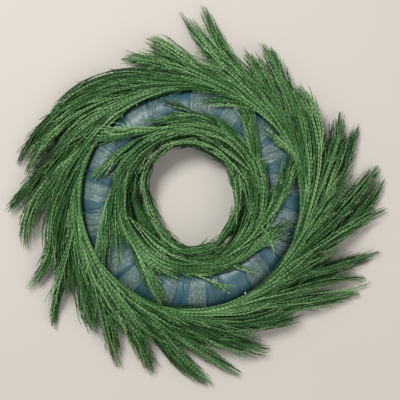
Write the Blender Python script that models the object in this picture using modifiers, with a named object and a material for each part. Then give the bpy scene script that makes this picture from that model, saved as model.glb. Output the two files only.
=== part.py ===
"""Fresh evergreen wreath lying flat: a straw ring bound with twine, wrapped in film, with pinned sprigs.

Metres, +Z up. The origin is the middle of the ring on the surface that it lies on.
A point on the ring is given by its azimuth round the ring, a section angle round the tube (0 faces
outwards, 90 faces up) and its distance from the tube's centreline.
"""

import math

import bmesh
import bpy
from mathutils import Vector

OBJECT_NAME = "evergreen_wreath"

# The ring form
RING_RADIUS = 0.120
SECTION_SIDES = 12
RING_SEGMENTS = 48
STRAW_RADIUS = 0.0276
TOUCH_GAP = 0.0003

# Twine round the straw
TWINE_RADIUS = 0.00045
TWINE_TURNS = 16
TWINE_SLACK = 0.0005
TWINE_SEAT = STRAW_RADIUS + TWINE_SLACK + TWINE_RADIUS

# Film round the twine: each turn laps over the one before it
FILM_TURNS = 17
FILM_THICKNESS = 0.0005
FILM_LAP_STEP = 0.0005
FILM_SLACK = 0.0006
FILM_RADIUS = TWINE_SEAT + TWINE_RADIUS + FILM_SLACK + FILM_THICKNESS
FILM_TURN_COLUMNS = ((0.00, 1), (0.40, 1), (0.48, 0), (0.74, 0))  # share of a turn, 1 where lapped
LAP_RADIUS = FILM_RADIUS + FILM_LAP_STEP

# The section polygon has a flat side at the bottom, and the lapped film rests on it
HALF_SIDE_ANGLE = math.pi / SECTION_SIDES
RING_HEIGHT = LAP_RADIUS * math.cos(HALF_SIDE_ANGLE)

# Stems lie on the film, each under one pin
STEM_RADIUS = 0.0018
STEM_SLACK = 0.00055  # the film's flat sides stand this far from the stems
STEM_SEAT = RING_HEIGHT + STEM_SLACK + STEM_RADIUS
BUTT_ANGLE = math.radians(6)
OUTER_SIDE = math.radians(30)
INNER_SIDE = math.radians(150)

# Pins
PIN_RADIUS = 0.0007
PIN_HALF_WIDTH = 0.007
PIN_CORNER = 0.0018
PIN_CROWN = STEM_SEAT + STEM_RADIUS + TOUCH_GAP + PIN_RADIUS
PIN_TIP = 0.008
PIN_SIDES = 6
HOLE_RADIUS = (PIN_RADIUS + TOUCH_GAP) / math.cos(math.pi / PIN_SIDES)
HOLE_BOTTOM = PIN_TIP - 0.0005

# Outer sprigs: evenly pinned, each with its own reach from the ring's middle
OUTER_FIRST_AZIMUTH = math.radians(7.5)
OUTER_REACHES = (
    0.222, 0.236, 0.250, 0.218, 0.222, 0.232, 0.250, 0.246,
    0.250, 0.242, 0.249, 0.234, 0.244, 0.254, 0.254, 0.238,
)
OUTER_SWEEP = math.radians(44.5)
OUTER_TIP_HEIGHT = 0.009
OUTER_LIFT = 0.007
OUTER_STATIONS = (0.0, 0.08, 0.22, 0.40, 0.60, 0.80, 1.0)
OUTER_RADII = (1.0, 1.0, 1.7, 3.6, 3.8, 3.0, 0.8)  # shares of the stem's radius
OUTER_SIDE_SHOOTS = ((0.24, 0.84, 0.020), (0.38, 0.93, -0.018))  # leaves at, ends at, end's offset
SIDE_SHOOT_SPREAD = (0.0, 0.55, 0.85, 1.0)  # shares of that offset along the shoot
SIDE_SHOOT_RADII = (0.9, 2.4, 2.3, 0.7)  # shares of the stem's radius
LOOK_AHEAD = 0.02  # share of the line used to find which way it runs

# Inner sprigs: pinned between the outer ones; each has a shoot over the film and one in the hole
INNER_COUNT = 8
INNER_FIRST_AZIMUTH = math.radians(18.75)
INNER_OVER_FILM = ((14, 0.0860, 0.0500), (29, 0.0800, 0.0530), (45, 0.0790, 0.0570),
                   (60, 0.0940, 0.0665), (74, 0.1150, 0.0700))  # degrees on, radius, height
INNER_OVER_RADII = (1.0, 1.0, 1.9, 2.8, 2.9, 2.2, 0.8)
INNER_IN_HOLE = ((22, 0.0825, 0.0500), (36, 0.0760, 0.0430), (52, 0.0720, 0.0340), (68, 0.0705, 0.0240))
INNER_HOLE_RADII = (1.0, 2.4, 2.2, 0.8)


def clear_scene():
    for old in list(bpy.data.objects):
        bpy.data.objects.remove(old, do_unlink=True)


def new_collection(name):
    collection = bpy.data.collections.new(name)
    bpy.context.scene.collection.children.link(collection)
    return collection


def make_material(name, colour, roughness, metallic=0.0, alpha=1.0):
    material = bpy.data.materials.new(name)
    material.use_nodes = True
    shader = material.node_tree.nodes["Principled BSDF"]
    shader.inputs["Base Color"].default_value = (*colour, 1.0)
    shader.inputs["Roughness"].default_value = roughness
    shader.inputs["Metallic"].default_value = metallic
    shader.inputs["Alpha"].default_value = alpha
    return material


def cylindrical(azimuth, radius, height):
    return Vector((radius * math.cos(azimuth), radius * math.sin(azimuth), height))


def on_ring(azimuth, section_angle, distance, along_section=0.0):
    """A point of the tube's section plane: out along the section angle, then sideways round the tube."""
    out = distance * math.cos(section_angle) - along_section * math.sin(section_angle)
    up = distance * math.sin(section_angle) + along_section * math.cos(section_angle)
    return cylindrical(azimuth, RING_RADIUS + out, RING_HEIGHT + up)


def section_angles():
    """The section polygon's corners, with a flat side at the bottom."""
    first = -math.pi / 2 + HALF_SIDE_ANGLE
    return [first + 2 * HALF_SIDE_ANGLE * k for k in range(SECTION_SIDES)]


def add_object(name, mesh, collection, material):
    piece = bpy.data.objects.new(name, mesh)
    mesh.materials.append(material)
    collection.objects.link(piece)
    return piece


def shade_smooth(mesh):
    mesh.shade_smooth()
    mesh.set_sharp_from_angle(angle=math.radians(40))


def tube_curve(name, points, radii, sides_resolution, collection, cyclic=False):
    """A curve object through the points, with a radius in metres at each."""
    data = bpy.data.curves.new(name, "CURVE")
    data.dimensions = "3D"
    data.bevel_depth = 1.0
    data.bevel_resolution = sides_resolution
    data.use_fill_caps = not cyclic
    spline = data.splines.new("POLY")
    spline.points.add(len(points) - 1)
    for target, point, radius in zip(spline.points, points, radii):
        target.co = (*point, 1.0)
        target.radius = radius
    spline.use_cyclic_u = cyclic
    piece = bpy.data.objects.new(name, data)
    collection.objects.link(piece)
    return piece


def curve_to_mesh(curve, name, collection, material):
    """A mesh object in the curve's place, with its caps welded on."""
    graph = bpy.context.evaluated_depsgraph_get()
    mesh = bpy.data.meshes.new_from_object(curve.evaluated_get(graph))
    mesh.materials.clear()
    work = bmesh.new()
    work.from_mesh(mesh)
    bmesh.ops.remove_doubles(work, verts=work.verts, dist=0.00001)
    bmesh.ops.recalc_face_normals(work, faces=work.faces)
    work.to_mesh(mesh)
    work.free()
    matrix = curve.matrix_world.copy()
    bpy.data.objects.remove(curve, do_unlink=True)
    piece = add_object(name, mesh, collection, material)
    piece.matrix_world = matrix
    return piece


def cut(piece, cutter):
    boolean = piece.modifiers.new("Pin holes", "BOOLEAN")
    boolean.operation = "DIFFERENCE"
    boolean.solver = "EXACT"
    boolean.object = cutter


def outer_azimuths():
    step = 2 * math.pi / len(OUTER_REACHES)
    return [OUTER_FIRST_AZIMUTH + step * k for k in range(len(OUTER_REACHES))]


def inner_azimuths():
    step = 2 * math.pi / INNER_COUNT
    return [INNER_FIRST_AZIMUTH + step * k for k in range(INNER_COUNT)]


def pin_places():
    """(name, azimuth, section angle) of every pin."""
    outer = [(f"pin_outer_{k:02d}", a, OUTER_SIDE) for k, a in enumerate(outer_azimuths(), 1)]
    inner = [(f"pin_inner_{k:02d}", a, INNER_SIDE) for k, a in enumerate(inner_azimuths(), 1)]
    return outer + inner


def make_pin_holes(cutters, material):
    """One cutter that holds a six-sided prism round each pin leg."""
    work = bmesh.new()
    for _, azimuth, side in pin_places():
        for across in (PIN_HALF_WIDTH, -PIN_HALF_WIDTH):
            bottom = on_ring(azimuth, side, HOLE_BOTTOM, across)
            top = on_ring(azimuth, side, PIN_CROWN, across)
            axis = top - bottom
            made = bmesh.ops.create_cone(
                work, cap_ends=True, segments=PIN_SIDES,
                radius1=HOLE_RADIUS, radius2=HOLE_RADIUS, depth=axis.length,
            )
            turn = axis.to_track_quat("Z", "Y").to_matrix()
            bmesh.ops.rotate(work, verts=made["verts"], cent=(0, 0, 0), matrix=turn)
            bmesh.ops.translate(work, verts=made["verts"], vec=(top + bottom) / 2)
    mesh = bpy.data.meshes.new("pin_holes")
    work.to_mesh(mesh)
    work.free()
    cutter = add_object("pin_holes", mesh, cutters, material)
    cutter.hide_render = True
    cutter.display_type = "WIRE"
    return cutter


def make_straw_ring(parts, material, holes):
    """The section polygon turned round the ring's axis."""
    corners = [on_ring(0.0, angle, STRAW_RADIUS) for angle in reversed(section_angles())]
    mesh = bpy.data.meshes.new("straw_ring")
    edges = [(k, (k + 1) % SECTION_SIDES) for k in range(SECTION_SIDES)]
    mesh.from_pydata(corners, edges, [])
    ring = add_object("straw_ring", mesh, parts, material)
    screw = ring.modifiers.new("Turn", "SCREW")
    screw.steps = RING_SEGMENTS
    screw.render_steps = RING_SEGMENTS
    screw.use_merge_vertices = True
    screw.merge_threshold = 0.00005
    cut(ring, holes)
    return ring


def make_twine(parts, cutters, material):
    """A helix round the straw that closes on itself and passes between the pins."""
    corners = section_angles()
    steps = TWINE_TURNS * SECTION_SIDES
    turn_advance = 2 * math.pi / TWINE_TURNS
    first = OUTER_FIRST_AZIMUTH + turn_advance / 2
    points = []
    for k in range(steps):
        along = k / SECTION_SIDES
        points.append(on_ring(first + along * turn_advance, corners[k % SECTION_SIDES], TWINE_SEAT))
    curve = tube_curve("twine_path", points, [TWINE_RADIUS] * steps, 0, cutters, cyclic=True)
    return curve_to_mesh(curve, "binding_twine", parts, material)


def make_film(parts, material, holes):
    """A sleeve whose corners follow the winding, thicker-standing where one turn laps over the last."""
    corners = section_angles()
    pitch = 2 * math.pi / FILM_TURNS
    columns = [
        ((turn + share) * pitch, LAP_RADIUS if lapped else FILM_RADIUS)
        for turn in range(FILM_TURNS)
        for share, lapped in FILM_TURN_COLUMNS
    ]
    turn_columns = len(FILM_TURN_COLUMNS)
    work = bmesh.new()
    grid = []
    for azimuth, radius in columns:
        grid.append([
            work.verts.new(on_ring(azimuth + pitch * k / SECTION_SIDES, angle, radius))
            for k, angle in enumerate(corners)
        ])
    for column in range(len(columns)):
        this, beside = grid[column], grid[(column + 1) % len(columns)]
        for k in range(SECTION_SIDES - 1):
            work.faces.new((this[k], beside[k], beside[k + 1], this[k + 1]))
        # Once round the tube, each column meets the one a turn further on
        turned = grid[(column + turn_columns) % len(columns)]
        turned_beside = grid[(column + turn_columns + 1) % len(columns)]
        work.faces.new((this[-1], beside[-1], turned_beside[0], turned[0]))
    bmesh.ops.recalc_face_normals(work, faces=work.faces)
    mesh = bpy.data.meshes.new("film_wrap")
    work.to_mesh(mesh)
    work.free()
    film = add_object("film_wrap", mesh, parts, material)
    solidify = film.modifiers.new("Thickness", "SOLIDIFY")
    solidify.thickness = FILM_THICKNESS
    solidify.offset = -1.0
    cut(film, holes)
    return film


def make_pin(name, azimuth, side, parts, cutters, material):
    half, corner = PIN_HALF_WIDTH, PIN_CORNER
    bend = corner * (1 - math.cos(math.pi / 4))
    upper = (
        (PIN_TIP, half),
        (PIN_CROWN - corner, half),
        (PIN_CROWN - bend, half - bend),
        (PIN_CROWN, half - corner),
    )
    profile = list(upper) + [(out, -across) for out, across in reversed(upper)]
    points = [on_ring(azimuth, side, out, across) for out, across in profile]
    curve = tube_curve(name + "_path", points, [PIN_RADIUS] * len(points), 1, cutters)
    pin = curve_to_mesh(curve, name, parts, material)
    shade_smooth(pin.data)
    return pin


def join_shoots(name, shoots, parts, material):
    """The first shoot is the stem, and each of the others grows out of it."""
    stem = shoots[0]
    for shoot in shoots[1:]:
        union = stem.modifiers.new("Grow", "BOOLEAN")
        union.operation = "UNION"
        union.solver = "EXACT"
        union.object = shoot
    graph = bpy.context.evaluated_depsgraph_get()
    mesh = bpy.data.meshes.new_from_object(stem.evaluated_get(graph))
    mesh.materials.clear()
    for shoot in shoots:
        bpy.data.objects.remove(shoot, do_unlink=True)
    sprig = add_object(name, mesh, parts, material)
    shade_smooth(sprig.data)
    return sprig


def outer_point(azimuth, reach, share, offset=0.0):
    """A point of an outer sprig's line at a share of its way from the pin to its tip."""
    pin_radius = RING_RADIUS + STEM_SEAT * math.cos(OUTER_SIDE)
    pin_height = RING_HEIGHT + STEM_SEAT * math.sin(OUTER_SIDE)
    radius = pin_radius + (reach - pin_radius) * share ** 1.35
    droop = share ** 2
    height = pin_height * (1 - droop) + OUTER_TIP_HEIGHT * droop + OUTER_LIFT * math.sin(math.pi * share)
    point = cylindrical(azimuth + OUTER_SWEEP * share ** 0.92, radius, height)
    if offset:
        ahead = outer_point(azimuth, reach, share + LOOK_AHEAD)
        sideways = Vector((ahead.y - point.y, point.x - ahead.x, 0.0)).normalized()
        point += sideways * offset
    return point


def make_outer_sprig(name, azimuth, reach, parts, cutters, material):
    points = [on_ring(azimuth - BUTT_ANGLE, OUTER_SIDE, STEM_SEAT)]
    points += [outer_point(azimuth, reach, share) for share in OUTER_STATIONS]
    radii = [STEM_RADIUS] + [STEM_RADIUS * share for share in OUTER_RADII]
    curves = [tube_curve(name + "_stem", points, radii, 1, cutters)]
    for leaves, ends, offset in OUTER_SIDE_SHOOTS:
        side_points = []
        for step, spread in enumerate(SIDE_SHOOT_SPREAD):
            share = leaves + (ends - leaves) * step / (len(SIDE_SHOOT_SPREAD) - 1)
            side_points.append(outer_point(azimuth, reach, share, offset * spread))
        side_radii = [STEM_RADIUS * share for share in SIDE_SHOOT_RADII]
        curves.append(tube_curve(f"{name}_shoot_{len(curves)}", side_points, side_radii, 1, cutters))
    shoots = [curve_to_mesh(c, c.name + "_solid", cutters, material) for c in curves]
    return join_shoots(name, shoots, parts, material)


def make_inner_sprig(name, azimuth, parts, cutters, material):
    seat = [on_ring(azimuth - BUTT_ANGLE, INNER_SIDE, STEM_SEAT), on_ring(azimuth, INNER_SIDE, STEM_SEAT)]
    over = seat + [cylindrical(azimuth + math.radians(a), r, z) for a, r, z in INNER_OVER_FILM]
    hole = [cylindrical(azimuth + math.radians(a), r, z) for a, r, z in INNER_IN_HOLE]
    curves = [
        tube_curve(name + "_stem", over, [STEM_RADIUS * s for s in INNER_OVER_RADII], 1, cutters),
        tube_curve(name + "_shoot", hole, [STEM_RADIUS * s for s in INNER_HOLE_RADII], 1, cutters),
    ]
    shoots = [curve_to_mesh(c, c.name + "_solid", cutters, material) for c in curves]
    return join_shoots(name, shoots, parts, material)


def main():
    clear_scene()
    parts = new_collection(OBJECT_NAME)
    cutters = new_collection("cutters")

    straw = make_material("straw", (0.62, 0.50, 0.25), 0.85)
    twine = make_material("twine", (0.45, 0.36, 0.22), 0.9)
    film = make_material("film", (0.03, 0.12, 0.13), 0.25, alpha=0.7)
    steel = make_material("pin_steel", (0.55, 0.56, 0.57), 0.35, metallic=1.0)
    foliage = make_material("foliage", (0.10, 0.17, 0.05), 0.6)

    holes = make_pin_holes(cutters, steel)
    make_straw_ring(parts, straw, holes)
    make_twine(parts, cutters, twine)
    make_film(parts, film, holes)
    for name, azimuth, side in pin_places():
        make_pin(name, azimuth, side, parts, cutters, steel)
    for number, (azimuth, reach) in enumerate(zip(outer_azimuths(), OUTER_REACHES), 1):
        make_outer_sprig(f"sprig_outer_{number:02d}", azimuth, reach, parts, cutters, foliage)
    for number, azimuth in enumerate(inner_azimuths(), 1):
        make_inner_sprig(f"sprig_inner_{number:02d}", azimuth, parts, cutters, foliage)


main()
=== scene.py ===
"""Fresh evergreen wreath: the looks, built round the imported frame.

Places on the wreath are an azimuth in degrees round the ring and a distance from its middle. Foliage is
laid as tufts: each is a line of four places that a bundle of thread-like strands follows and fans out from.
"""

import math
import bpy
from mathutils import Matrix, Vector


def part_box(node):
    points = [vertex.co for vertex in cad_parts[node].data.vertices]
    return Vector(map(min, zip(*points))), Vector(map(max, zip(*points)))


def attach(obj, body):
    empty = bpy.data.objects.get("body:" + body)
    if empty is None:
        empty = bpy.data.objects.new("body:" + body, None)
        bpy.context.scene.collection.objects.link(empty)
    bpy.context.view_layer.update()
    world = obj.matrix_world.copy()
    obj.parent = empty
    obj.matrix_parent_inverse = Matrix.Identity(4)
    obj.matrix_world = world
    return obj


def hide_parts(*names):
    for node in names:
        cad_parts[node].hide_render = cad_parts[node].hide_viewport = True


bl_info = {
    "name": "Evergreen Wreath",
    "version": (1, 0, 0),
    "blender": (4, 5, 0),
    "location": "View3D > Sidebar > Wreath",
    "description": "Builds the sprigs, wrapping film, straw and twine of a fresh evergreen wreath",
    "category": "Object",
}

import bpy
import numpy as np

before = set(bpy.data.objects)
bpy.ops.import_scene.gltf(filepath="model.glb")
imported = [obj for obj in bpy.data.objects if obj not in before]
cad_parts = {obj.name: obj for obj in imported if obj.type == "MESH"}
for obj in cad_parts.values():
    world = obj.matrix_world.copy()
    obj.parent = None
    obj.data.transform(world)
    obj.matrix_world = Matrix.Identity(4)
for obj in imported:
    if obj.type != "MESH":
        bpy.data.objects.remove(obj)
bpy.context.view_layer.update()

FILM_LOW, FILM_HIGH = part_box("film_wrap")
STRAW_LOW, STRAW_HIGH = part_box("straw_ring")
TUBE_RADIUS = (FILM_HIGH.z - FILM_LOW.z) / 2 / math.cos(math.pi / 12)
RING_HEIGHT = (FILM_HIGH.z + FILM_LOW.z) / 2
RING_RADIUS = FILM_HIGH.x - TUBE_RADIUS
STRAW_RADIUS = (STRAW_HIGH.z - STRAW_LOW.z) / 2

# Each outer sprig's tufts: azimuths and radii in mm of four places on its line, half-widths in mm at its
# middle and end, strands, and 1 where the bundle lies on top of the others or 0 where it lies among them.
OUTER_TUFTS = (
    (((7, 24, 36, 47), (155, 183, 198, 201), 11, 8, 40, 0),
     ((7, 26, 42, 56), (150, 166, 186, 198), 12, 9, 42, 0),
     ((8, 28, 45, 62), (148, 153, 164, 180), 9, 9, 34, 1),
     ((32, 50, 68, 87), (166, 150, 135, 123), 8, 5, 9, 1)),
    (((30, 44, 55, 64), (152, 182, 203, 228), 12, 8, 40, 0),
     ((30, 48, 60, 69), (150, 166, 188, 208), 12, 9, 40, 0),
     ((31, 52, 68, 84), (148, 155, 166, 186), 9, 9, 32, 1)),
    (((52, 68, 78, 86), (152, 178, 202, 256), 11, 6, 42, 0),
     ((52, 69, 82, 92), (150, 170, 198, 246), 11, 6, 38, 0),
     ((54, 76, 92, 108), (148, 155, 172, 200), 9, 9, 32, 1)),
    (((75, 89, 98, 105), (150, 174, 200, 220), 12, 9, 34, 0),
     ((75, 93, 105, 115), (150, 163, 186, 207), 11, 8, 36, 0),
     ((76, 98, 115, 132), (148, 154, 170, 196), 9, 9, 34, 1),
     ((112, 119, 126, 131), (162, 158, 148, 139), 4, 4, 6, 1)),
    (((97, 113, 130, 148), (152, 178, 202, 217), 11, 8, 46, 0),
     ((98, 118, 138, 158), (150, 165, 190, 212), 13, 9, 46, 0),
     ((99, 120, 140, 160), (148, 152, 165, 188), 10, 9, 36, 1)),
    (((118, 135, 151, 168), (165, 196, 220, 237), 7, 5, 28, 0),
     ((120, 138, 155, 170), (154, 180, 204, 222), 13, 8, 48, 0),
     ((121, 140, 160, 178), (149, 157, 172, 204), 10, 9, 36, 1)),
    (((142, 159, 172, 183), (150, 180, 208, 243), 11, 7, 36, 0),
     ((143, 164, 180, 195), (150, 170, 206, 231), 12, 9, 42, 0),
     ((144, 168, 186, 202), (148, 155, 175, 203), 10, 9, 36, 1)),
    (((166, 186, 200, 208), (152, 182, 200, 247), 10, 5, 36, 0),
     ((166, 186, 203, 217), (150, 165, 186, 215), 12, 8, 38, 0),
     ((168, 190, 207, 222), (148, 152, 159, 174), 9, 9, 34, 1)),
    (((188, 203, 213, 222), (150, 172, 208, 251), 9, 4, 32, 0),
     ((188, 208, 222, 234), (150, 165, 193, 217), 13, 9, 46, 0),
     ((190, 212, 232, 247), (148, 153, 166, 190), 9, 9, 34, 1)),
    (((210, 226, 237, 246), (150, 172, 203, 243), 11, 7, 42, 0),
     ((211, 232, 247, 257), (150, 162, 193, 237), 12, 8, 46, 0),
     ((212, 238, 254, 268), (148, 151, 165, 194), 9, 9, 34, 1)),
    (((233, 250, 263, 275), (150, 170, 206, 249), 12, 8, 46, 0),
     ((233, 252, 269, 284), (150, 161, 190, 240), 12, 9, 46, 0),
     ((236, 260, 279, 295), (148, 152, 168, 205), 10, 9, 34, 1)),
    (((255, 272, 285, 296), (150, 172, 198, 228), 12, 8, 40, 0),
     ((256, 280, 297, 312), (150, 160, 184, 214), 13, 9, 46, 0),
     ((258, 285, 305, 322), (148, 150, 165, 200), 10, 9, 36, 1)),
    (((278, 298, 315, 329), (150, 165, 198, 252), 13, 7, 52, 0),
     ((279, 300, 321, 335), (150, 156, 184, 248), 12, 6, 48, 0),
     ((281, 305, 325, 342), (148, 150, 165, 202), 10, 9, 34, 1),
     ((318, 325, 331, 336), (190, 220, 250, 276), 2, 1, 3, 0)),
    (((301, 317, 331, 343), (149, 158, 196, 257), 11, 6, 46, 0),
     ((302, 323, 342, 356), (149, 152, 186, 255), 12, 7, 50, 0),
     ((305, 331, 352, 370), (148, 148, 168, 214), 9, 9, 40, 1)),
    (((322, 338, 351, 364), (154, 180, 216, 257), 11, 8, 46, 0),
     ((323, 342, 358, 369), (150, 168, 208, 254), 12, 7, 44, 0),
     ((325, 346, 366, 382), (148, 154, 176, 214), 9, 9, 34, 1)),
    (((345, 360, 372, 383), (152, 180, 208, 243), 11, 6, 40, 0),
     ((346, 365, 378, 389), (150, 170, 198, 230), 12, 7, 38, 0),
     ((347, 368, 386, 402), (148, 154, 170, 193), 9, 9, 32, 1),
     ((355, 374, 390, 404), (150, 147, 139, 132), 6, 5, 16, 1)),
)
# Inner sprigs: one tuft hugs the hole, one lies beside the film and the rest rise over it.
INNER_TUFTS = (
    (((14, 38, 62, 90), (76, 69, 69, 76), 7, 5, 34, 0),
     ((16, 40, 62, 88), (90, 80, 80, 87), 8, 7, 40, 0),
     ((19, 34, 49, 62), (92, 99, 116, 140), 10, 9, 34, 1),
     ((30, 50, 70, 88), (94, 98, 102, 108), 7, 6, 22, 1)),
    (((59, 82, 106, 136), (78, 74, 76, 72), 6, 4, 32, 0),
     ((60, 84, 108, 132), (90, 86, 88, 90), 8, 7, 40, 0),
     ((64, 82, 98, 116), (94, 104, 104, 110), 7, 6, 26, 1),
     ((78, 90, 100, 108), (100, 112, 124, 134), 3, 3, 5, 1)),
    (((104, 128, 152, 178), (82, 75, 69, 60), 7, 5, 34, 0),
     ((106, 130, 152, 178), (92, 87, 82, 76), 8, 7, 40, 0),
     ((110, 124, 137, 149), (96, 106, 124, 154), 8, 10, 28, 1),
     ((124, 140, 155, 169), (100, 105, 114, 131), 5, 5, 15, 1)),
    (((149, 172, 196, 222), (76, 62, 58, 59), 7, 5, 38, 0),
     ((150, 174, 198, 224), (90, 78, 72, 72), 9, 8, 44, 0),
     ((156, 178, 200, 222), (94, 101, 116, 156), 9, 8, 34, 1),
     ((170, 190, 208, 222), (97, 99, 108, 122), 4, 3, 8, 1)),
    (((194, 217, 242, 268), (66, 58, 63, 69), 7, 5, 38, 0),
     ((196, 218, 242, 268), (84, 74, 76, 80), 9, 8, 44, 0),
     ((200, 220, 238, 254), (94, 94, 106, 138), 9, 9, 42, 1)),
    (((239, 262, 284, 308), (74, 69, 69, 66), 6, 5, 34, 0),
     ((240, 262, 286, 312), (88, 82, 84, 80), 8, 7, 42, 0),
     ((246, 268, 288, 306), (93, 92, 92, 98), 6, 6, 22, 1),
     ((268, 278, 286, 294), (95, 102, 114, 125), 2, 1, 3, 1)),
    (((284, 308, 332, 358), (74, 66, 62, 64), 7, 5, 36, 0),
     ((286, 310, 334, 360), (88, 81, 78, 80), 9, 8, 44, 0),
     ((290, 312, 330, 346), (93, 100, 106, 130), 8, 9, 32, 1),
     ((300, 303, 306, 310), (96, 101, 111, 123), 3, 3, 5, 1)),
    (((329, 353, 378, 404), (70, 62, 63, 68), 7, 5, 36, 0),
     ((331, 354, 378, 404), (86, 79, 79, 84), 9, 8, 44, 0),
     ((335, 350, 366, 385), (93, 103, 118, 146), 9, 10, 36, 1),
     ((326, 331, 336, 340), (128, 118, 107, 104), 2, 2, 4, 1)),
)
SINGLE_LAYERS = (  # where only one layer of film lies over the straw: middle and half-width in degrees
    (83, 8), (123, 6), (157, 7), (176, 5), (195, 6), (220, 6), (234, 5), (256, 4), (274, 5),
    (313, 6), (334, 6), (349, 5), (370, 7), (390, 5), (405, 5), (425, 5), (112, 2),
)
FILM_SLANT = 5.0  # degrees that the film advances over the top of the ring
MM = 0.001
PILE_INNER = (  # distances from the middle, with the lowest and the highest foliage at each
    (0.050, 0.062, 0.078, 0.094, 0.110, 0.128, 0.150),
    (0.006, 0.008, 0.016, 0.040, 0.062, 0.062, 0.046),
    (0.030, 0.044, 0.058, 0.066, 0.069, 0.069, 0.060),
)
PILE_OUTER = (
    (0.120, 0.145, 0.165, 0.185, 0.210, 0.240, 0.280),
    (0.062, 0.047, 0.022, 0.008, 0.004, 0.003, 0.003),
    (0.067, 0.064, 0.058, 0.048, 0.034, 0.017, 0.008),
)
STRAND_STEPS = 22
SHOOT_STEPS = 6
STALKS = 1300
CORE_SIDES = 24
CORE_STEPS = 97
TWINE_TURNS = 16
TWINE_RADIUS = 0.00045
CREASES = 150
FILM_COLUMNS = 1000
FILM_ROWS = 44
FILM_THICKNESS = 0.00015
FLOOR_HALF = 4.0
VIEW_WIDTH = 0.531
VIEW_MIDDLE = (0.0117, -0.0012)
LENS = 70.0


class WreathSettings(bpy.types.PropertyGroup):
    strand_radius: bpy.props.FloatProperty(
        name="Strand radius", description="Radius of a foliage strand near its base",
        default=0.00088, unit="LENGTH")
    scale_length: bpy.props.FloatProperty(
        name="Scale length", description="Length of one pair of scale leaves along a strand",
        default=0.0054, unit="LENGTH")
    # Dark green is partly the real colour of older foliage and partly painted shade: the lowest strands,
    # deep in the pile and between the others, take it.
    foliage_dark_and_shade: bpy.props.FloatVectorProperty(
        name="Dark green", description="Colour of the oldest foliage", subtype="COLOR",
        default=(0.004, 0.030, 0.004))
    foliage_mid: bpy.props.FloatVectorProperty(
        name="Middle green", description="Colour of most foliage", subtype="COLOR",
        default=(0.046, 0.165, 0.036))
    # Pale green is partly the real colour of fresh growth and partly a painted highlight: the topmost
    # strands take it.
    foliage_pale_and_highlight: bpy.props.FloatVectorProperty(
        name="Pale green", description="Colour of the freshest foliage", subtype="COLOR",
        default=(0.330, 0.560, 0.250))
    stem_colour: bpy.props.FloatVectorProperty(
        name="Stem", description="Colour of the cut stems", subtype="COLOR",
        default=(0.230, 0.360, 0.080))
    film_colour: bpy.props.FloatVectorProperty(
        name="Film", description="Colour of the wrapping film", subtype="COLOR",
        default=(0.030, 0.085, 0.105))
    straw_colour: bpy.props.FloatVectorProperty(
        name="Straw", description="Colour of the straw", subtype="COLOR",
        default=(0.620, 0.560, 0.330))
    twine_colour: bpy.props.FloatVectorProperty(
        name="Twine", description="Colour of the binding twine", subtype="COLOR",
        default=(0.420, 0.330, 0.190))
    floor_colour: bpy.props.FloatVectorProperty(
        name="Floor", description="Colour of the plain floor", subtype="COLOR",
        default=(0.590, 0.550, 0.495))


class Wire:
    """A shader socket that can be used in Python expressions; each operator adds its Math node."""

    def __init__(self, shader, socket):
        self.shader = shader
        self.socket = socket

    def _math(self, operation, first, second):
        return self.shader.node("ShaderNodeMath", {"operation": operation}, {0: first, 1: second})

    def __add__(self, other):
        return self._math("ADD", self, other)

    def __radd__(self, other):
        return self._math("ADD", other, self)

    def __sub__(self, other):
        return self._math("SUBTRACT", self, other)

    def __rsub__(self, other):
        return self._math("SUBTRACT", other, self)

    def __mul__(self, other):
        return self._math("MULTIPLY", self, other)

    def __rmul__(self, other):
        return self._math("MULTIPLY", other, self)


class Shader:
    """A material's node tree, with one method that adds any node."""

    def __init__(self, name):
        self.material = bpy.data.materials.new(name)
        self.material.use_nodes = True
        self.nodes = self.material.node_tree.nodes
        self.links = self.material.node_tree.links
        self.surface = self.nodes["Principled BSDF"]

    def feed(self, socket, value):
        if isinstance(value, Wire):
            self.links.new(value.socket, socket)
        else:
            socket.default_value = value

    def node(self, kind, settings=None, sockets=None, output=0):
        made = self.nodes.new(kind)
        for key, value in (settings or {}).items():
            if key == "stops":
                ramp = made.color_ramp
                while len(ramp.elements) < len(value):
                    ramp.elements.new(0.5)
                for element, (position, colour) in zip(ramp.elements, value):
                    element.position = position
                    element.color = (*colour, 1.0)
            else:
                setattr(made, key, value)
        for key, value in (sockets or {}).items():
            self.feed(made.inputs[key], value)
        return Wire(self, made.outputs[output])

    def mix(self, factor, first, second):
        sockets = {0: factor, 6: first, 7: second}
        return self.node("ShaderNodeMix", {"data_type": "RGBA"}, sockets, output=2)

    def attribute(self, name):
        return self.node("ShaderNodeAttribute", {"attribute_name": name}, output=2)

    def noise(self, scale, detail=3.0):
        place = self.node("ShaderNodeTexCoord", output=3)
        return self.node("ShaderNodeTexNoise", {}, {"Vector": place, "Scale": scale, "Detail": detail})

    def bump(self, height, distance, strength=0.6):
        sockets = {"Height": height, "Distance": distance, "Strength": strength}
        self.put("Normal", self.node("ShaderNodeBump", {}, sockets))

    def put(self, name, value):
        self.feed(self.surface.inputs[name], value)


def settings():
    return bpy.context.scene.wreath_settings


def colour4(colour):
    return (*colour, 1.0)


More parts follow.
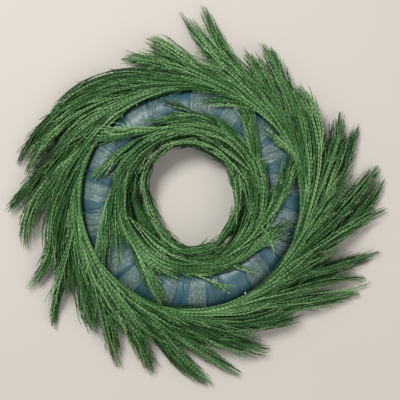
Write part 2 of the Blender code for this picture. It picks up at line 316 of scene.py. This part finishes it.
def foliage_material():
    look = settings()
    shader = Shader("evergreen_foliage")
    tone = shader.attribute("tone")
    along = shader.attribute("along")
    groove = shader.attribute("groove")
    wood = shader.attribute("wood")
    speckle = shader.noise(420.0)
    # The ramp below paints light: tone holds painted shade by depth in the pile, so its dark end is partly
    # painted shade and its pale end partly painted highlight.
    shade = tone * 0.86 + along * 0.16 + speckle * 0.22 - 0.12
    dark, mid, pale = tuple(look.foliage_dark_and_shade), tuple(look.foliage_mid), tuple(look.foliage_pale_and_highlight)
    stops = ((0.12, dark), (0.50, mid), (1.0, pale))
    green = shader.node("ShaderNodeValToRGB", {"stops": stops}, {0: shade})
    # Painted shade in the grooves between scale leaves: the green is darkened towards a dark copy of the
    # middle green where the strand narrows.
    green = shader.mix(groove * 0.7, green, colour4([c * 0.35 for c in mid]))
    bark = shader.mix(speckle, colour4(look.stem_colour), colour4([c * 0.55 for c in look.stem_colour]))
    shader.put("Base Color", shader.mix(wood, green, bark))
    shader.put("Roughness", speckle * 0.2 + 0.48)
    shader.surface.inputs["Specular IOR Level"].default_value = 0.3
    shader.bump(speckle - groove * 0.8, 0.0003)
    return shader.material


def film_material():
    look = settings()
    shader = Shader("wrapping_film")
    single = shader.attribute("single")
    crease = shader.attribute("crease")
    film = tuple(look.film_colour)
    cloud = shader.noise(60.0)
    fine = shader.noise(430.0, 6.0)
    tint = shader.mix(cloud, colour4([c * 0.80 for c in film]), colour4([c * 1.45 for c in film]))
    fleck = shader.node("ShaderNodeValToRGB", {"stops": ((0.40, (0, 0, 0)), (0.68, (1, 1, 1)))}, {0: fine})
    milky = shader.mix(fleck, colour4((0.09, 0.19, 0.20)), colour4((0.32, 0.42, 0.37)))
    tint = shader.mix(single * 0.8, tint, milky)
    # Painted shade in the creases: the film colour is darkened along each crease.
    tint = shader.mix(crease * 0.65, tint, colour4([c * 0.30 for c in film]))
    shader.put("Base Color", tint)
    shader.put("Alpha", 0.97 - single * 0.40)
    shader.put("Roughness", cloud * 0.2 + 0.30)
    shader.bump(fine * 0.3 + cloud - crease, 0.0006)
    return shader.material


def straw_material():
    colour = tuple(settings().straw_colour)
    shader = Shader("dry_straw")
    tone = shader.attribute("tone")
    grain = shader.noise(900.0, 3.0)
    stalk = shader.mix(tone, colour4([c * 0.45 for c in colour]), colour4([min(1, c * 1.2) for c in colour]))
    shader.put("Base Color", shader.mix(grain * 0.4, stalk, colour4([c * 0.5 for c in colour])))
    shader.put("Roughness", grain * 0.2 + 0.55)
    shader.bump(grain, 0.0002)
    return shader.material


def twine_material():
    colour = tuple(settings().twine_colour)
    shader = Shader("jute_twine")
    ply = shader.attribute("groove")
    fibre = shader.noise(1500.0, 4.0)
    lit = shader.mix(fibre, colour4(colour), colour4([c * 0.5 for c in colour]))
    # Painted shade in the grooves between the plies: the twine colour is darkened there.
    shader.put("Base Color", shader.mix(ply * 0.5, lit, colour4([c * 0.3 for c in colour])))
    shader.put("Roughness", fibre * 0.15 + 0.75)
    shader.bump(fibre - ply, 0.0002)
    return shader.material


def steel_material():
    shader = Shader("pin_wire")
    worn = shader.noise(300.0, 3.0)
    shader.put("Base Color", shader.mix(worn, (0.62, 0.63, 0.64, 1.0), (0.40, 0.41, 0.42, 1.0)))
    shader.put("Metallic", 1.0)
    shader.put("Roughness", worn * 0.25 + 0.25)
    return shader.material


def floor_material():
    colour = tuple(settings().floor_colour)
    shader = Shader("plain_floor")
    cloud = shader.noise(6.0, 2.0)
    shader.put("Base Color", shader.mix(cloud, colour4(colour), colour4([c * 0.96 for c in colour])))
    shader.put("Roughness", 0.8)
    return shader.material


class TubeBatch:
    """Many tapered tubes gathered into one mesh, with a value at each corner for the shader."""

    def __init__(self, sides):
        self.sides = sides
        self.points = []
        self.faces = []
        self.values = {"tone": [], "along": [], "groove": [], "wood": []}
        self.strips = []
        self.count = 0

    def add(self, line, radii, tone, wood=0.0, groove=None):
        """line is (n, 3), radii (n,). Both ends are closed with a point."""
        ways = np.gradient(line, axis=0)
        ways /= np.linalg.norm(ways, axis=1)[:, None] + 1e-12
        across = np.cross(ways, (0.0, 0.0, 1.0))
        across /= np.linalg.norm(across, axis=1)[:, None] + 1e-9
        up = np.cross(across, ways)
        angles = np.arange(self.sides) * 2 * math.pi / self.sides
        ring = np.cos(angles)[None, :, None] * across[:, None] + np.sin(angles)[None, :, None] * up[:, None]
        rings = line[:, None] + ring * radii[:, None, None]
        start = line[0] - ways[0] * radii[0] * 0.6
        end = line[-1] + ways[-1] * radii[-1] * 1.5
        rows, sides, base = len(line), self.sides, self.count
        points = np.concatenate([rings.reshape(-1, 3), start[None], end[None]])
        grid = base + np.arange(rows * sides).reshape(rows, sides)
        turned = np.roll(grid, -1, axis=1)
        quads = np.stack([grid[:-1], turned[:-1], turned[1:], grid[1:]], axis=-1).reshape(-1, 4)
        first, last = base + rows * sides, base + rows * sides + 1
        caps_low = np.stack([turned[0], grid[0], np.full(sides, first)], axis=-1)
        caps_high = np.stack([grid[-1], turned[-1], np.full(sides, last)], axis=-1)
        self.faces.append((quads, np.concatenate([caps_low, caps_high])))
        self.points.append(points)
        along = np.linspace(0, 1, rows)
        groove = np.zeros(rows) if groove is None else groove
        for name, row in (("along", along), ("groove", groove)):
            self.values[name].append(np.concatenate([np.repeat(row, sides), row[[0, -1]]]))
        self.values["tone"].append(np.full(len(points), tone))
        self.values["wood"].append(np.full(len(points), wood))
        self.strips.append((rows, len(points)))
        self.count += len(points)

    def build(self, name, material):
        points = np.concatenate(self.points)
        quads = np.concatenate([q for q, _ in self.faces])
        tris = np.concatenate([t for _, t in self.faces])
        mesh = bpy.data.meshes.new(name)
        mesh.vertices.add(len(points))
        mesh.vertices.foreach_set("co", points.astype(np.float32).ravel())
        loops = np.concatenate([quads.ravel(), tris.ravel()]).astype(np.int32)
        mesh.loops.add(len(loops))
        mesh.loops.foreach_set("vertex_index", loops)
        starts = np.concatenate([np.arange(len(quads)) * 4, len(quads) * 4 + np.arange(len(tris)) * 3])
        mesh.polygons.add(len(starts))
        mesh.polygons.foreach_set("loop_start", starts.astype(np.int32))
        mesh.update(calc_edges=True)
        for key, parts in self.values.items():
            attribute = mesh.attributes.new(key, "FLOAT", "POINT")
            attribute.data.foreach_set("value", np.concatenate(parts).astype(np.float32))
        self.lay_out_strips(mesh, loops)
        mesh.validate()
        mesh.shade_smooth()
        mesh.materials.append(material)
        piece = bpy.data.objects.new(name, mesh)
        bpy.context.scene.collection.objects.link(piece)
        return piece

    def lay_out_strips(self, mesh, loops):
        """Each tube gets a strip of the map: across it in one direction, along it in the other."""
        rows_of_strips = 3
        columns = math.ceil(len(self.strips) / rows_of_strips)
        u, v = [], []
        for number, (rows, total) in enumerate(self.strips):
            row, column = divmod(number, columns)
            around = 0.5 + 0.35 * np.cos(np.arange(self.sides) * 2 * math.pi / self.sides)
            middle = np.full(2, (column + 0.5) / columns)
            u.append(np.concatenate([np.tile((column + around) / columns, rows), middle]))
            up = 0.02 + 0.96 * np.linspace(0, 1, rows)
            v.append((row + np.concatenate([np.repeat(up, self.sides), [0.01, 0.99]])) / rows_of_strips)
        layer = mesh.uv_layers.new(name="OFBake")
        uv = np.stack([np.concatenate(u), np.concatenate(v)], axis=-1)[loops]
        layer.data.foreach_set("uv", uv.astype(np.float32).ravel())


def through_four(values, shares):
    """The smooth curve through four values at 0, 1/3, 2/3 and 1."""
    a, b, c, d = values
    t = np.asarray(shares) * 3
    return (a * (1 - t) * (2 - t) * (3 - t) / 6 + b * t * (2 - t) * (3 - t) / 2
            - c * t * (1 - t) * (3 - t) / 2 + d * t * (1 - t) * (2 - t) / 6)


def film_top(radius):
    """Height of the film's upper side at a distance from the middle, or the table away from it."""
    out = TUBE_RADIUS**2 - (radius - RING_RADIUS) ** 2
    return np.where(out > 0, RING_HEIGHT + np.sqrt(np.maximum(out, 0)), 0.0)


def pile_height(radius, layer, inner):
    """Height of foliage at a distance from the middle; layer runs from 0, at the bottom, to 1."""
    places, low, high = PILE_INNER if inner else PILE_OUTER
    return np.interp(radius, places, low) * (1 - layer) + np.interp(radius, places, high) * layer


def beaded(line, radii, scale_length, random):
    """A strand resampled so that its radius swells and narrows with each pair of scale leaves."""
    steps = np.linalg.norm(np.diff(line, axis=0), axis=1)
    travelled = np.concatenate([[0], np.cumsum(steps)])
    count = max(6, int(travelled[-1] / scale_length * 2))
    places = np.linspace(0, travelled[-1], count)
    fine = np.stack([np.interp(places, travelled, line[:, k]) for k in range(3)], axis=-1)
    narrow = (np.arange(count) + random.integers(2)) % 2
    width = np.interp(places, travelled, radii) * np.where(narrow, 0.84, 1.12)
    return fine, width, narrow.astype(float)


def settle(line, radius):
    """Keeps a line above the table and off the film."""
    reach = np.hypot(line[:, 0], line[:, 1])
    line[:, 2] = np.maximum(line[:, 2], np.maximum(film_top(reach), 0.0008) + radius + 0.0004)
    return line


def side_shoots(batch, line, radius, tone, random, scale_length):
    """Short shoots that leave a strand at a narrow angle and bend back along it."""
    for _ in range(int(random.integers(1, 4))):
        place = int(random.uniform(0.45, 0.93) * (len(line) - 2))
        way = line[place + 1] - line[place]
        way /= np.linalg.norm(way) + 1e-9
        sideways = np.cross(way, (0.0, 0.0, 1.0))
        turn = random.choice((-1, 1)) * math.tan(math.radians(random.uniform(9, 24)))
        length = random.uniform(0.008, 0.024)
        share = np.linspace(0, 1, SHOOT_STEPS)[:, None]
        shoot = line[place] + (way * share + sideways * turn * share * (1 - 0.35 * share)) * length
        shoot = shoot + np.array([0, 0, 1]) * share * random.uniform(-0.1, 0.25) * length
        shoot = settle(shoot, radius)
        taper = radius * np.linspace(0.78, 0.40, SHOOT_STEPS)
        fine, width, narrow = beaded(shoot, taper, scale_length, random)
        batch.add(fine, width, tone + 0.08, groove=narrow)


def grow_tuft(batch, tuft, random, inner, look):
    azimuths, radii, middle, end, strands, on_top = tuft
    clusters = max(2, strands // 6)
    centres = np.linspace(-1, 1, clusters) + random.normal(0, 0.10, clusters)
    layers = random.uniform(0.55, 1.0, clusters) if on_top else random.uniform(0.05, 0.98, clusters)
    cluster_tone = random.normal(0.44, 0.10, clusters)
    for number in range(strands):
        cluster = number % clusters
        side = 0.55 * (centres[cluster] + random.uniform(-1, 1)) + random.normal(0, 0.12)
        starts = random.uniform(0.0, 0.24)
        ends = 1.05 - 0.10 * side**2 - abs(random.normal(0, 0.09))
        share = np.linspace(starts, max(ends, starts + 0.4), STRAND_STEPS)
        own = (share - share[0]) / (share[-1] - share[0])
        azimuth = np.radians(through_four(azimuths, share))
        radius = through_four(radii, share) * MM
        line = np.stack([radius * np.cos(azimuth), radius * np.sin(azimuth), np.zeros_like(share)], axis=-1)
        way = np.gradient(line, axis=0)
        way /= np.linalg.norm(way, axis=1)[:, None]
        sideways = np.stack([way[:, 1], -way[:, 0]], axis=-1)
        width = np.interp(share, (0, 0.45, 1), (0.3 * middle, middle, 1.3 * end)) * MM
        opening = 0.45 + 0.55 * own ** 0.8
        wave = 0.0016 * own * np.sin(own * random.uniform(3, 8) + random.uniform(0, 6.3))
        line[:, :2] += sideways * (side * width * opening + wave)[:, None]
        reach = np.hypot(line[:, 0], line[:, 1])
        depth = 0.55 * layers[cluster] + 0.45 * random.uniform()
        line[:, 2] = pile_height(reach, depth, inner)
        line[:, 2] += 0.0020 * np.sin(own * random.uniform(2, 7) + random.uniform(0, 6.3)) * own
        thick = look.strand_radius * random.uniform(0.82, 1.12)
        line = settle(line, thick)
        # Besides each cluster's and strand's own tone, strands are painted darker the lower they lie in the
        # pile and paler the higher: painted shade below, painted highlight on top.
        tone = cluster_tone[cluster] + random.normal(0, 0.27) + 0.75 * (depth - 0.60)
        tone = float(np.clip(tone, 0.0, 1.0))
        taper = thick * np.interp(own, (0, 0.12, 0.7, 1), (0.75, 1.0, 0.82, 0.34))
        fine, widths, narrow = beaded(line, taper, look.scale_length, random)
        batch.add(fine, widths, tone, groove=narrow)
        side_shoots(batch, line, thick, tone, random, look.scale_length)


def grow_stem(batch, node, tufts, inner, random):
    """The woody stem, from its butt under the pin along the first tuft's line."""
    azimuths, radii = tufts[1][0], tufts[1][1]
    seat = TUBE_RADIUS * math.cos(math.pi / 12) + 0.0024
    side = math.radians(150 if inner else 30)
    pin_low, pin_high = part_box(node.replace("sprig", "pin"))
    pin = (pin_low + pin_high) / 2
    azimuth = math.atan2(pin.y, pin.x)
    seat_radius = RING_RADIUS + seat * math.cos(side)
    seat_height = RING_HEIGHT + seat * math.sin(side)
    line = []
    for degrees in (-6, -3, 0, 4):
        angle = azimuth + math.radians(degrees)
        line.append((seat_radius * math.cos(angle), seat_radius * math.sin(angle), seat_height))
    for share in (0.30, 0.42, 0.54, 0.66):
        angle = math.radians(float(through_four(azimuths, share)))
        radius = float(through_four(radii, share)) * MM
        height = float(pile_height(radius, 0.5, inner))
        line.append((radius * math.cos(angle), radius * math.sin(angle), height))
    line = np.array(line)
    places = np.linspace(0, len(line) - 1, 40)
    smooth = np.stack([np.interp(places, np.arange(len(line)), line[:, k]) for k in range(3)], axis=-1)
    for _ in range(4):
        smooth[1:-1] = (smooth[:-2] + smooth[1:-1] * 2 + smooth[2:]) / 4
    smooth = settle(smooth, 0.0014)
    batch.add(smooth, np.linspace(0.0018, 0.0008, len(smooth)), 0.5, wood=1.0)


def filling_tufts(start, inner):
    """The tufts every sprig has: they close gaps and cover the film's edge and the pins."""
    if inner:
        turns = (start - 6, start + 18, start + 42, start + 66)
        return ((turns, (87, 86, 87, 90), 7, 7, 30, 1), (turns, (93, 94, 96, 99), 6, 6, 24, 1))
    turns = (start - 3, start + 20, start + 39, start + 57)
    return (
        (turns, (148, 158, 176, 194), 16, 16, 40, 0),
        (turns, (143, 145, 152, 168), 7, 9, 30, 1),
    )


def make_sprig(node, tufts, inner, seed, material):
    random = np.random.default_rng(seed)
    batch = TubeBatch(5)
    grow_stem(batch, node, tufts, inner, random)
    for tuft in (*tufts, *filling_tufts(tufts[1][0][0], inner)):
        grow_tuft(batch, tuft, random, inner, settings())
    piece = batch.build(node + "_foliage", material)
    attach(piece, "root")
    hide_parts(node)


class WREATH_OT_outer_sprigs(bpy.types.Operator):
    """Lay the long sprigs round the outer side of the ring"""

    bl_idname = "wreath.outer_sprigs"
    bl_label = "Outer sprigs"

    def execute(self, context):
        material = foliage_material()
        for number, tufts in enumerate(OUTER_TUFTS, 1):
            make_sprig(f"sprig_outer_{number:02d}", tufts, False, 100 + number, material)
        return {"FINISHED"}


class WREATH_OT_inner_sprigs(bpy.types.Operator):
    """Lay the shorter sprigs round the hole, with their tips over the film"""

    bl_idname = "wreath.inner_sprigs"
    bl_label = "Inner sprigs"

    def execute(self, context):
        material = bpy.data.materials.get("evergreen_foliage") or foliage_material()
        for number, tufts in enumerate(INNER_TUFTS, 1):
            make_sprig(f"sprig_inner_{number:02d}", tufts, True, 200 + number, material)
        return {"FINISHED"}


def ring_grid(name, radius_at, azimuths, sections, values, material):
    """A closed tube round the ring, from its azimuths and section angles, given a thickness."""
    phi, theta = np.meshgrid(azimuths, sections, indexing="ij")
    distance = radius_at(phi, theta)
    out = RING_RADIUS + distance * np.cos(theta)
    height = np.maximum(RING_HEIGHT + distance * np.sin(theta), 0.0004)
    points = np.stack([out * np.cos(phi), out * np.sin(phi), height], axis=-1).reshape(-1, 3)
    rows, columns = phi.shape
    index = np.arange(rows * columns).reshape(rows, columns)
    beside, above = np.roll(index, -1, axis=0), np.roll(index, -1, axis=1)
    corner = np.roll(beside, -1, axis=1)
    faces = np.stack([index, beside, corner, above], axis=-1).reshape(-1, 4)
    mesh = bpy.data.meshes.new(name)
    mesh.from_pydata(points.tolist(), [], faces.tolist())
    for key, value in values(phi, theta).items():
        attribute = mesh.attributes.new(key, "FLOAT", "POINT")
        attribute.data.foreach_set("value", value.astype(np.float32).ravel())
    mesh.shade_smooth()
    mesh.materials.append(material)
    piece = bpy.data.objects.new(name, mesh)
    bpy.context.scene.collection.objects.link(piece)
    solid = piece.modifiers.new("Thickness", "SOLIDIFY")
    solid.thickness = FILM_THICKNESS
    solid.offset = -1.0
    return piece


def single_layer(phi, theta):
    """1 where one layer of film lies, 0 where a turn laps over the last, with crisp edges."""
    turned = np.degrees(phi) - FILM_SLANT * (theta - math.pi / 2) / math.pi
    share = np.zeros_like(turned)
    for middle, half in SINGLE_LAYERS:
        apart = np.abs((turned - middle + 180) % 360 - 180)
        share = np.maximum(share, np.clip((half - apart) / 0.7 + 0.5, 0, 1))
    return share


def film_creases(phi, theta):
    """Fine creases along the winding, deepest beside the laps."""
    turned = np.degrees(phi) - FILM_SLANT * (theta - math.pi / 2) / math.pi
    crease = np.zeros_like(turned)
    random = np.random.default_rng(7)
    for _ in range(CREASES):
        middle = random.uniform(0, 360)
        lean = random.normal(0, 2.0)
        wander = random.uniform(0, 6.3)
        line = middle + lean * np.sin(theta) + 0.4 * np.sin(3 * theta + wander)
        apart = np.abs((turned - line + 180) % 360 - 180)
        fade = 0.5 + 0.5 * np.sin(theta * 2 + wander * 3)
        crease = np.maximum(crease, fade * np.exp(-((apart / 0.30) ** 2)))
    return crease


class WREATH_OT_film(bpy.types.Operator):
    """Wind the translucent film round the straw ring"""

    bl_idname = "wreath.film"
    bl_label = "Wrapping film"

    def execute(self, context):
        def radius_at(phi, theta):
            lap = 0.0006 * (1 - single_layer(phi, theta))
            ripple = 0.00025 * np.sin(37 * phi + 3 * np.sin(2 * theta)) * np.sin(5 * theta + 11 * phi)
            return TUBE_RADIUS - 0.0011 + lap + ripple - 0.0005 * film_creases(phi, theta)

        def values(phi, theta):
            return {"single": single_layer(phi, theta), "crease": film_creases(phi, theta)}

        azimuths = np.linspace(0, 2 * math.pi, FILM_COLUMNS, endpoint=False)
        sections = np.linspace(0, 2 * math.pi, FILM_ROWS, endpoint=False) + 0.01
        film = ring_grid("wound_film", radius_at, azimuths, sections, values, film_material())
        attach(film, "root")
        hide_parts("film_wrap")
        return {"FINISHED"}


class WREATH_OT_straw(bpy.types.Operator):
    """Bundle the straw into the ring that the film covers"""

    bl_idname = "wreath.straw"
    bl_label = "Straw ring"

    def execute(self, context):
        random = np.random.default_rng(31)
        batch = TubeBatch(CORE_SIDES)
        core = np.linspace(0, 2 * math.pi, CORE_STEPS)
        level = np.full(CORE_STEPS, RING_HEIGHT / RING_RADIUS)
        ring = np.stack([np.cos(core), np.sin(core), level], axis=-1) * RING_RADIUS
        batch.add(ring, np.full(CORE_STEPS, STRAW_RADIUS * 0.965), 0.25)
        piece = batch.build("straw_core", straw_material())
        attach(piece, "root")
        stalks = TubeBatch(4)
        for _ in range(STALKS):
            phi, theta = random.uniform(0, 2 * math.pi, 2)
            lean = random.normal(0, 0.55)
            length = random.uniform(0.030, 0.070)
            share = np.linspace(-0.5, 0.5, 8) * length
            depth = STRAW_RADIUS * random.uniform(0.972, 1.000)
            azimuth = phi + share * math.cos(lean) / RING_RADIUS
            section = theta + share * math.sin(lean) / STRAW_RADIUS
            out = RING_RADIUS + depth * np.cos(section)
            height = RING_HEIGHT + depth * np.sin(section)
            line = np.stack([out * np.cos(azimuth), out * np.sin(azimuth), height], axis=-1)
            stalks.add(line, np.full(8, random.uniform(0.0004, 0.0009)), random.uniform(0.2, 1.0))
        piece = stalks.build("straw_stalks", bpy.data.materials["dry_straw"])
        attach(piece, "root")
        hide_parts("straw_ring")
        return {"FINISHED"}


class WREATH_OT_twine(bpy.types.Operator):
    """Bind the straw with a helix of twine"""

    bl_idname = "wreath.twine"
    bl_label = "Binding twine"

    def execute(self, context):
        steps = 60
        share = np.linspace(0, 1, TWINE_TURNS * steps + 1)
        section = share * TWINE_TURNS * 2 * math.pi - math.pi / 2
        azimuth = share * 2 * math.pi + math.radians(7.5 + 11.25)
        seat = STRAW_RADIUS * 1.012 + 0.0005
        out = RING_RADIUS + seat * np.cos(section)
        height = RING_HEIGHT + seat * np.sin(section)
        line = np.stack([out * np.cos(azimuth), out * np.sin(azimuth), height], axis=-1)
        ply = (np.arange(len(share)) % 3 == 0).astype(float)
        batch = TubeBatch(8)
        batch.add(line, TWINE_RADIUS - 0.00006 * ply, 0.5, groove=ply)
        piece = batch.build("twine_binding", twine_material())
        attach(piece, "root")
        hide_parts("binding_twine")
        return {"FINISHED"}


class WREATH_OT_pins(bpy.types.Operator):
    """Give the greening pins their galvanised wire finish"""

    bl_idname = "wreath.pins"
    bl_label = "Greening pins"

    def execute(self, context):
        steel = steel_material()
        for name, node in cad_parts.items():
            if name.startswith("pin_"):
                node.data.materials.clear()
                node.data.materials.append(steel)
        return {"FINISHED"}


def area_light(name, place, size, power):
    light = bpy.data.lights.new(name, "AREA")
    light.size = size
    light.energy = power
    lamp = bpy.data.objects.new(name, light)
    bpy.context.scene.collection.objects.link(lamp)
    lamp.location = place
    lamp.rotation_euler = lamp.location.to_track_quat("Z", "Y").to_euler()


class WREATH_OT_stage(bpy.types.Operator):
    """Set the plain floor, the soft light and the camera that looks straight down"""

    bl_idname = "wreath.stage"
    bl_label = "Stage"

    def execute(self, context):
        scene = context.scene
        mesh = bpy.data.meshes.new("floor")
        corners = [(x * FLOOR_HALF, y * FLOOR_HALF, 0) for x, y in ((-1, -1), (1, -1), (1, 1), (-1, 1))]
        mesh.from_pydata(corners, [], [(0, 1, 2, 3)])
        mesh.materials.append(floor_material())
        floor = bpy.data.objects.new("floor", mesh)
        scene.collection.objects.link(floor)
        world = bpy.data.worlds.new("studio")
        world.use_nodes = True
        world.node_tree.nodes["Background"].inputs["Color"].default_value = (1.0, 0.99, 0.97, 1.0)
        world.node_tree.nodes["Background"].inputs["Strength"].default_value = 0.34
        scene.world = world
        area_light("key", (-0.7, 0.9, 1.9), 0.7, 41.0)
        area_light("fill", (1.2, -0.7, 1.8), 1.6, 14.0)
        scene.view_settings.view_transform = "Standard"
        camera = bpy.data.cameras.new("camera")
        camera.lens = LENS
        distance = VIEW_WIDTH * camera.lens / camera.sensor_width
        view = bpy.data.objects.new("camera", camera)
        scene.collection.objects.link(view)
        view.location = (*VIEW_MIDDLE, RING_HEIGHT + distance)
        scene.camera = view
        return {"FINISHED"}


class WREATH_PT_panel(bpy.types.Panel):
    """The wreath's pieces and sizes"""

    bl_idname = "WREATH_PT_panel"
    bl_label = "Evergreen wreath"
    bl_space_type = "VIEW_3D"
    bl_region_type = "UI"
    bl_category = "Wreath"

    def draw(self, context):
        for name in WreathSettings.__annotations__:
            self.layout.prop(context.scene.wreath_settings, name)
        for operator in OPERATORS:
            self.layout.operator(operator.bl_idname)


OPERATORS = (
    WREATH_OT_stage, WREATH_OT_straw, WREATH_OT_twine, WREATH_OT_film,
    WREATH_OT_pins, WREATH_OT_outer_sprigs, WREATH_OT_inner_sprigs,
)
CLASSES = (WreathSettings, *OPERATORS, WREATH_PT_panel)


def register():
    for cls in CLASSES:
        bpy.utils.register_class(cls)
    bpy.types.Scene.wreath_settings = bpy.props.PointerProperty(type=WreathSettings)


def unregister():
    del bpy.types.Scene.wreath_settings
    for cls in reversed(CLASSES):
        bpy.utils.unregister_class(cls)


def main():
    register()
    bpy.ops.wreath.stage()
    bpy.ops.wreath.straw()
    bpy.ops.wreath.twine()
    bpy.ops.wreath.film()
    bpy.ops.wreath.pins()
    bpy.ops.wreath.outer_sprigs()
    bpy.ops.wreath.inner_sprigs()


if __name__ == "__main__":
    main()
